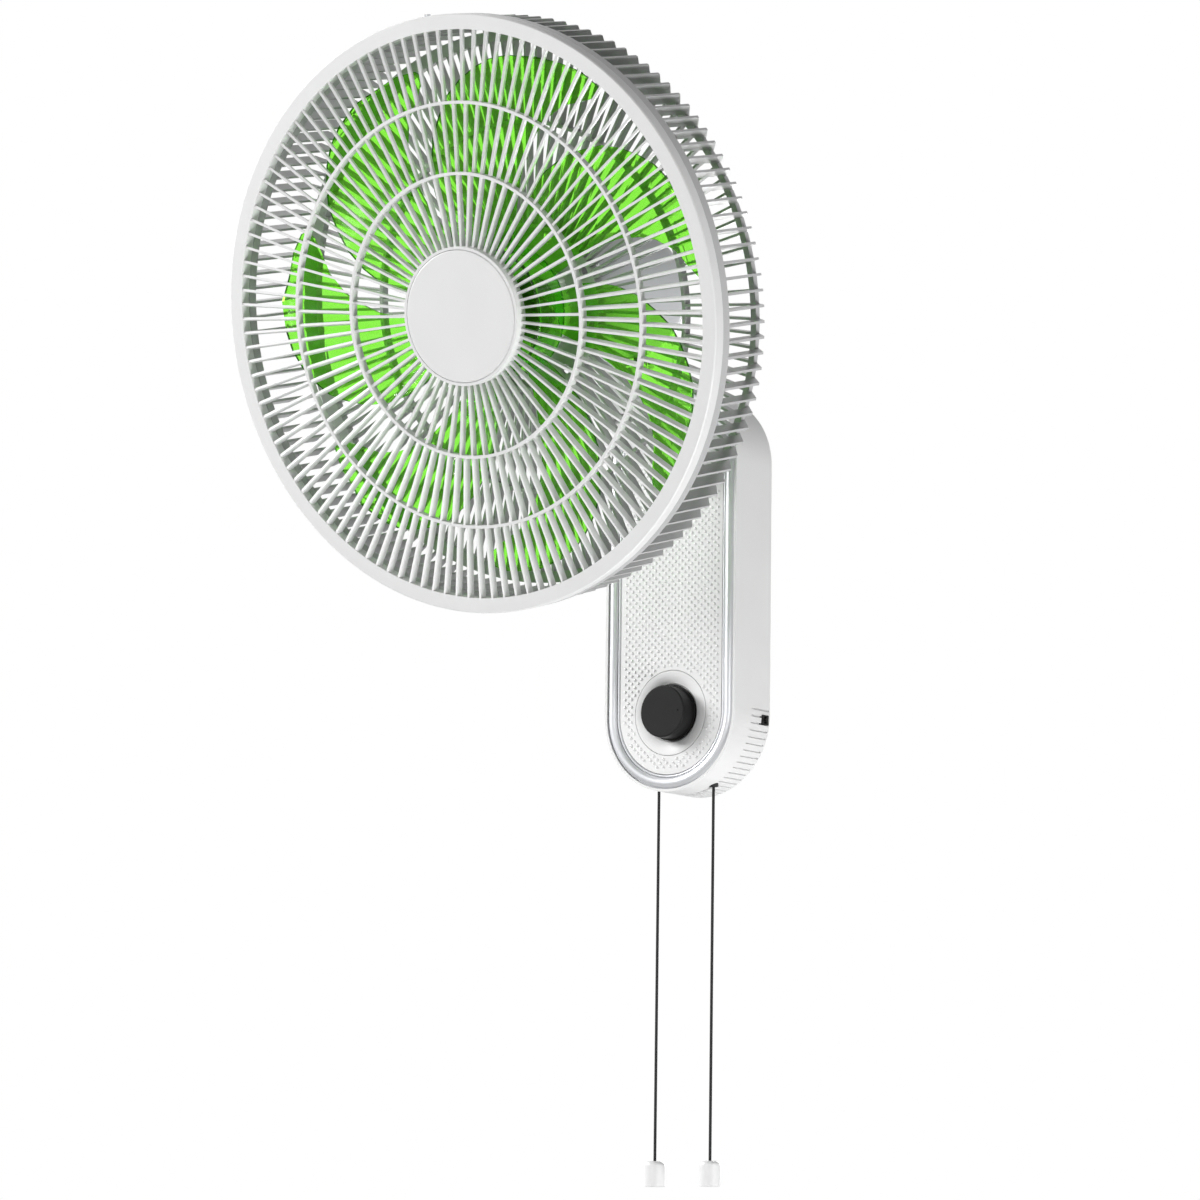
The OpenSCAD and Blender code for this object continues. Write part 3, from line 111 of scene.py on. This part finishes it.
def material(name, color, rough, grain=900.0, bump=0.04, vary=0.03, metallic=0.0,
             rough_vary=0.06, specular=0.5, transmission=0.0, ior=1.47):
    """Plastic, metal or rubber. vary and rough_vary say how far colour and gloss wander."""
    m = bpy.data.materials.new(name)
    m.use_nodes = True
    t = m.node_tree
    shader = t.nodes["Principled BSDF"]
    shader.inputs["Metallic"].default_value = metallic
    shader.inputs["IOR"].default_value = ior
    shader.inputs["Specular IOR Level"].default_value = specular
    shader.inputs["Transmission Weight"].default_value = transmission

    place = t.nodes.new("ShaderNodeTexCoord")
    fine = node(t, "ShaderNodeTexNoise", Scale=grain, Detail=4.0, Roughness=0.6)
    slow = node(t, "ShaderNodeTexNoise", Scale=PATCH_SCALE, Detail=3.0, Roughness=0.5)
    for n in (fine, slow):
        t.links.new(place.outputs["Object"], n.inputs["Vector"])

    ramp = t.nodes.new("ShaderNodeValToRGB")
    shades = ([max(0.0, c * (1 - vary)) for c in color],
              [min(1.0, c * (1 + vary)) for c in color])
    for stop, edge, shade in zip(ramp.color_ramp.elements, PATCH_EDGES, shades):
        stop.position = edge
        stop.color = (*shade, 1)
    t.links.new(slow.outputs["Fac"], ramp.inputs["Fac"])
    t.links.new(ramp.outputs["Color"], shader.inputs["Base Color"])

    gloss = node(t, "ShaderNodeMapRange", To_Min=max(LEAST_ROUGH, rough - rough_vary),
                 To_Max=min(1.0, rough + rough_vary))
    t.links.new(fine.outputs["Fac"], gloss.inputs["Value"])
    t.links.new(gloss.outputs["Result"], shader.inputs["Roughness"])
    if bump:
        raise_surface(t, fine.outputs["Fac"], bump)
    return m


WHITE = (0.80, 0.80, 0.80)

M = {
    "white": material("white_moulding", WHITE, 0.36, vary=0.012),
    "panel": material("white_panel", WHITE, 0.42, vary=0.012, bump=0.08),
    "bumps": material("panel_bumps", WHITE, 0.42, vary=0.012),
    "silver": material("silver_trim", (0.66, 0.67, 0.69), 0.32, metallic=0.4, grain=1400),
    "black": material("black_plastic", (0.015, 0.015, 0.015), 0.4, vary=0.1, bump=0.06,
                      specular=0.12),
    "switch": material("switch_body", (0.05, 0.05, 0.055), 0.5, vary=0.1),
    "cream": material("cream_plastic", (0.7, 0.66, 0.55), 0.45, vary=0.04),
    "rubber": material("black_rubber", (0.015, 0.015, 0.015), 0.6, vary=0.15, bump=0.15),
    "steel": material("zinc_steel", (0.55, 0.56, 0.57), 0.35, metallic=1.0, vary=0.08,
                      grain=600),
    "bronze": material("sintered_bronze", (0.45, 0.3, 0.15), 0.5, metallic=0.9, vary=0.12,
                       grain=2500, bump=0.2),
    "motor": material("motor_shell", (0.58, 0.59, 0.61), 0.38, vary=0.015),
    # The motor's front cover is the same light grey as its shell; its dark grey is painted shade,
    # for the shadow behind the blades.
    "motor_dark": material("motor_front", (0.16, 0.16, 0.165), 0.5, vary=0.06),
    "iron": material("lamination", (0.22, 0.23, 0.25), 0.45, metallic=0.9, vary=0.1),
    "copper": material("copper_wire", (0.6, 0.25, 0.1), 0.35, metallic=0.9, vary=0.12,
                       bump=0.3),
    "cast": material("cast_bracket", (0.5, 0.51, 0.53), 0.5, metallic=0.8, vary=0.08,
                     bump=0.2),
    "nylon": material("white_nylon", (0.75, 0.75, 0.72), 0.45, vary=0.02),
    # The rear guard is the same white plastic as the front guard; its mid grey is painted shade,
    # for the shade it lies in behind the front guard and blades.
    "rear_guard": material("rear_guard", (0.50, 0.50, 0.505), 0.3, vary=0.012),
    "white_guard": material("white_guard", WHITE, 0.34, vary=0.012),
    "green": material("green_blade", (0.30, 1.0, 0.075), 0.04, vary=0.0, rough_vary=0.02,
                      bump=0.0, transmission=0.92, ior=1.3),
}

# The braid of the pull cords.
STRAND_TILT = 0.6
STRAND_SCALE = 380.0
STRAND_WANDER = 0.6
STRAND_BUMP = 0.5


def cord_material():
    """Black braided cord: two crossing waves raise the strands."""
    m = material("black_cord", (0.012, 0.012, 0.013), 0.6, bump=0.0, vary=0.2, specular=0.3)
    t = m.node_tree
    place = next(n for n in t.nodes if n.bl_idname == "ShaderNodeTexCoord")
    waves = []
    for tilt in (STRAND_TILT, -STRAND_TILT):
        turn = node(t, "ShaderNodeMapping", Rotation=(tilt, tilt, 0))
        wave = node(t, "ShaderNodeTexWave", Scale=STRAND_SCALE, Distortion=STRAND_WANDER)
        wave.bands_direction = "Z"
        t.links.new(place.outputs["Object"], turn.inputs["Vector"])
        t.links.new(turn.outputs["Vector"], wave.inputs["Vector"])
        waves.append(wave.outputs["Fac"])
    raise_surface(t, math_node(t, "ADD", *waves), STRAND_BUMP)
    return m


M["cord"] = cord_material()

# The pull cords, from their eyelets to their bells.
CORD_LOW, CORD_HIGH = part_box("pull_cord_right")
CORD_X = (CORD_LOW[0] + CORD_HIGH[0]) / 2
CORD_Y = (CORD_LOW[1] + CORD_HIGH[1]) / 2
CORD_TOP = CORD_HIGH[2]
CORD_LENGTH = CORD_HIGH[2] - CORD_LOW[2]
CORD_D = CORD_HIGH[0] - CORD_LOW[0]
CORD_STEPS = 38
CORD_ROUNDNESS = 4


def pull_cord(name, x, body, node_name):
    curve = bpy.data.curves.new(name, "CURVE")
    curve.dimensions = "3D"
    curve.bevel_depth = CORD_D / 2
    curve.bevel_resolution = CORD_ROUNDNESS
    curve.use_fill_caps = True
    line = curve.splines.new("POLY")
    line.points.add(CORD_STEPS)
    for k in range(CORD_STEPS + 1):
        line.points[k].co = (x, CORD_Y, CORD_TOP - CORD_LENGTH * k / CORD_STEPS, 1)
    curve.materials.append(M["cord"])
    o = bpy.data.objects.new(name, curve)
    bpy.context.collection.objects.link(o)
    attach(o, body)
    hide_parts(node_name)


pull_cord("cord_left", -CORD_X, "left_pull", "pull_cord_left")
pull_cord("cord_right", CORD_X, "right_pull", "pull_cord_right")

# Which nodes of the frame wear which material.
LOOK = {
    "white": ["housing", "back_cover", "knob_dish", "support_arm", "neck", "bell_left",
              "bell_right"],
    "panel": ["front_panel"],
    "silver": ["bezel"],
    "black": ["knob", "mode_switch", "mode_slider", "swing_crank"],
    "switch": ["rotary_switch", "pull_switch_left", "pull_switch_right"],
    "cream": ["terminal_block", "run_capacitor"],
    "rubber": ["cord_eyelets", "mains_grommet"],
    "cord": ["inner_cord_left", "inner_cord_right"],
    "steel": ["wall_plate", "arm_screws", "cover_screws", "switch_nut", "tilt_bolt",
              "tilt_nut", "switch_shaft", "pull_rod_left", "pull_rod_right", "link_pin",
              "swing_link", "housing_screws", "motor_bolts", "pan_post", "guard_screw",
              "rotor_shaft", "drive_pin", "swing_motor"],
    "bronze": ["neck_bush", "shaft_bearings"],
    "motor": ["motor_housing"],
    "motor_dark": ["motor_front_cover"],
    "iron": ["stator", "rotor_core"],
    "copper": ["windings"],
    "cast": ["front_bracket", "rear_bracket"],
    "nylon": ["pan_washer"],
    "rear_guard": ["rear_guard"],
    "white_guard": ["front_guard", "front_cap", "guard_nut", "blade_nut"],
    "green": ["fan_blades"],
}
for look, names in LOOK.items():
    for name in names:
        for slot in NODES[name].material_slots:
            slot.material = M[look]

# The raised dots of the panel, in rows shifted by half a pitch. They stand back from the
# panel's edge, the knob's dish and the foot of the arm.
PANEL_LOW, PANEL_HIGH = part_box("front_panel")
DISH_LOW, DISH_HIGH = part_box("knob_dish")
SCREWS_LOW, SCREWS_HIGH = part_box("arm_screws")
ROW_GAP = 0.00295
DOT_PITCH = 0.006
DOTS_TO_A_SIDE = 9
EDGE_KEEP = 0.0036
DISH_KEEP = 0.0028
ARM_KEEP = 0.004
ARM_HALF_WIDTH = 0.0205
DOT_R = 0.00125
DOT_H = 0.00078
DOT_SINK = 0.00005
DOT_SIDES = 10
DOT_RINGS = ((1.0, 0.0), (0.9, 0.45), (0.58, 0.85))  # shares of the radius and the height


def dot(verts, faces, x, y, z):
    """Adds a low dome that stands out of the panel towards the room."""
    start = len(verts)
    for wide, high in DOT_RINGS:
        for j in range(DOT_SIDES):
            a = 2 * math.pi * j / DOT_SIDES
            verts.append((x + DOT_R * wide * math.cos(a), y - DOT_H * high,
                          z + DOT_R * wide * math.sin(a)))
    tip = len(verts)
    verts.append((x, y - DOT_H, z))
    for k in range(len(DOT_RINGS) - 1):
        for j in range(DOT_SIDES):
            a = start + k * DOT_SIDES + j
            b = start + k * DOT_SIDES + (j + 1) % DOT_SIDES
            faces.append((a, b, b + DOT_SIDES, a + DOT_SIDES))
    last = tip - DOT_SIDES
    for j in range(DOT_SIDES):
        faces.append((last + j, last + (j + 1) % DOT_SIDES, tip))


def add(name, verts, faces, body, mat):
    """A smooth piece built from its own vertices, riding on a body."""
    mesh = bpy.data.meshes.new(name)
    mesh.from_pydata(verts, [], faces)
    mesh.update()
    o = bpy.data.objects.new(name, mesh)
    bpy.context.collection.objects.link(o)
    mesh.materials.append(mat)
    for p in mesh.polygons:
        p.use_smooth = True
    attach(o, body)


def panel_bumps():
    verts, faces = [], []
    y = PANEL_LOW[1] + DOT_SINK
    half_w = (PANEL_HIGH[0] - PANEL_LOW[0]) / 2
    height = PANEL_HIGH[2] - PANEL_LOW[2]
    straight = height / 2 - half_w
    dish_r = (DISH_HIGH[0] - DISH_LOW[0]) / 2
    dish_z = (DISH_HIGH[2] + DISH_LOW[2]) / 2
    rows = int(height / ROW_GAP / 2) + 1
    for i in range(-rows, rows + 1):
        z = i * ROW_GAP
        past_straight = max(0.0, abs(z) - straight)
        beside_arm = SCREWS_LOW[2] - ARM_KEEP < z < SCREWS_HIGH[2] + ARM_KEEP
        for j in range(-DOTS_TO_A_SIDE, DOTS_TO_A_SIDE + 1):
            x = (j + (0.5 if i % 2 else 0.0)) * DOT_PITCH
            over_edge = math.hypot(x, past_straight) > half_w - EDGE_KEEP
            in_dish = math.hypot(x, z - dish_z) < dish_r + DISH_KEEP
            under_arm = beside_arm and abs(x) < ARM_HALF_WIDTH
            if not (over_edge or in_dish or under_arm):
                dot(verts, faces, x, y, z)
    add("panel_bumps", verts, faces, "base", M["bumps"])


panel_bumps()

# The stage. The floor lies below the part, and the world is white to the camera.
FLOOR_HALF = 12.0
FLOOR_Z = -1.9
FLOOR_GLOW = 0.6
WORLD_LIGHT = 0.11
# The lamps: name, place, aim, size and power in watts.
LAMPS = (
    ("left", (-2.2, -1.3, 1.1), (0, -0.1, 0.05), (1.0, 1.0), 98),
    ("below", (0.8, -1.1, -1.5), (0, -0.1, 0.0), (2.0, 1.6), 7),
    ("low_right", (2.1, -0.35, -1.4), (0, -0.1, 0.0), (0.9, 0.9), 43),
    ("front", (0.7, -2.8, 0.3), (0, -0.1, 0.1), (1.0, 1.0), 12),
    ("back", (-0.7, 2.8, 0.5), (0, -0.1, 0.0), (1.6, 1.6), 45),
)


def pale_to_camera(t):
    """Adds an even glow that only the camera sees, so the floor is pale and keeps its shadows."""
    path = t.nodes.new("ShaderNodeLightPath")
    shader = t.nodes["Principled BSDF"]
    shader.inputs["Emission Color"].default_value = (1, 1, 1, 1)
    glow = math_node(t, "MULTIPLY", path.outputs["Is Camera Ray"], FLOOR_GLOW)
    t.links.new(glow, shader.inputs["Emission Strength"])


def make_floor():
    s, z = FLOOR_HALF, FLOOR_Z
    mesh = bpy.data.meshes.new("floor")
    mesh.from_pydata([(-s, -s, z), (s, -s, z), (s, s, z), (-s, s, z)], [], [(0, 1, 2, 3)])
    o = bpy.data.objects.new("floor", mesh)
    bpy.context.collection.objects.link(o)
    m = material("floor_paper", (0.86, 0.86, 0.86), 0.8, vary=0.01)
    pale_to_camera(m.node_tree)
    mesh.materials.append(m)


def make_world():
    """White where it is seen, mirrored or shone through, and a dim even light elsewhere."""
    w = bpy.data.worlds.new("world")
    bpy.context.scene.world = w
    w.use_nodes = True
    t = w.node_tree
    t.nodes.clear()
    out = t.nodes.new("ShaderNodeOutputWorld")
    shown = node(t, "ShaderNodeBackground", Color=(1, 1, 1, 1), Strength=1.0)
    light = node(t, "ShaderNodeBackground", Color=(1, 1, 1, 1), Strength=WORLD_LIGHT)
    mix = t.nodes.new("ShaderNodeMixShader")
    ray = t.nodes.new("ShaderNodeLightPath").outputs
    sharp = math_node(t, "MAXIMUM", ray["Is Camera Ray"], ray["Is Glossy Ray"])
    sharp = math_node(t, "MAXIMUM", sharp, ray["Is Transmission Ray"])
    before_diffuse = math_node(t, "LESS_THAN", ray["Diffuse Depth"], 0.5)
    t.links.new(math_node(t, "MULTIPLY", sharp, before_diffuse), mix.inputs["Fac"])
    t.links.new(light.outputs[0], mix.inputs[1])
    t.links.new(shown.outputs[0], mix.inputs[2])
    t.links.new(mix.outputs[0], out.inputs["Surface"])


def area_lamp(name, at, aim, size, power):
    data = bpy.data.lights.new(name, "AREA")
    data.shape = "RECTANGLE"
    data.size, data.size_y = size
    data.energy = power
    o = bpy.data.objects.new(name, data)
    o.location = at
    o.rotation_euler = (Vector(aim) - Vector(at)).to_track_quat("-Z", "Y").to_euler()
    bpy.context.collection.objects.link(o)


make_floor()
make_world()
for lamp in LAMPS:
    area_lamp(*lamp)
bpy.context.scene.view_settings.view_transform = "Standard"
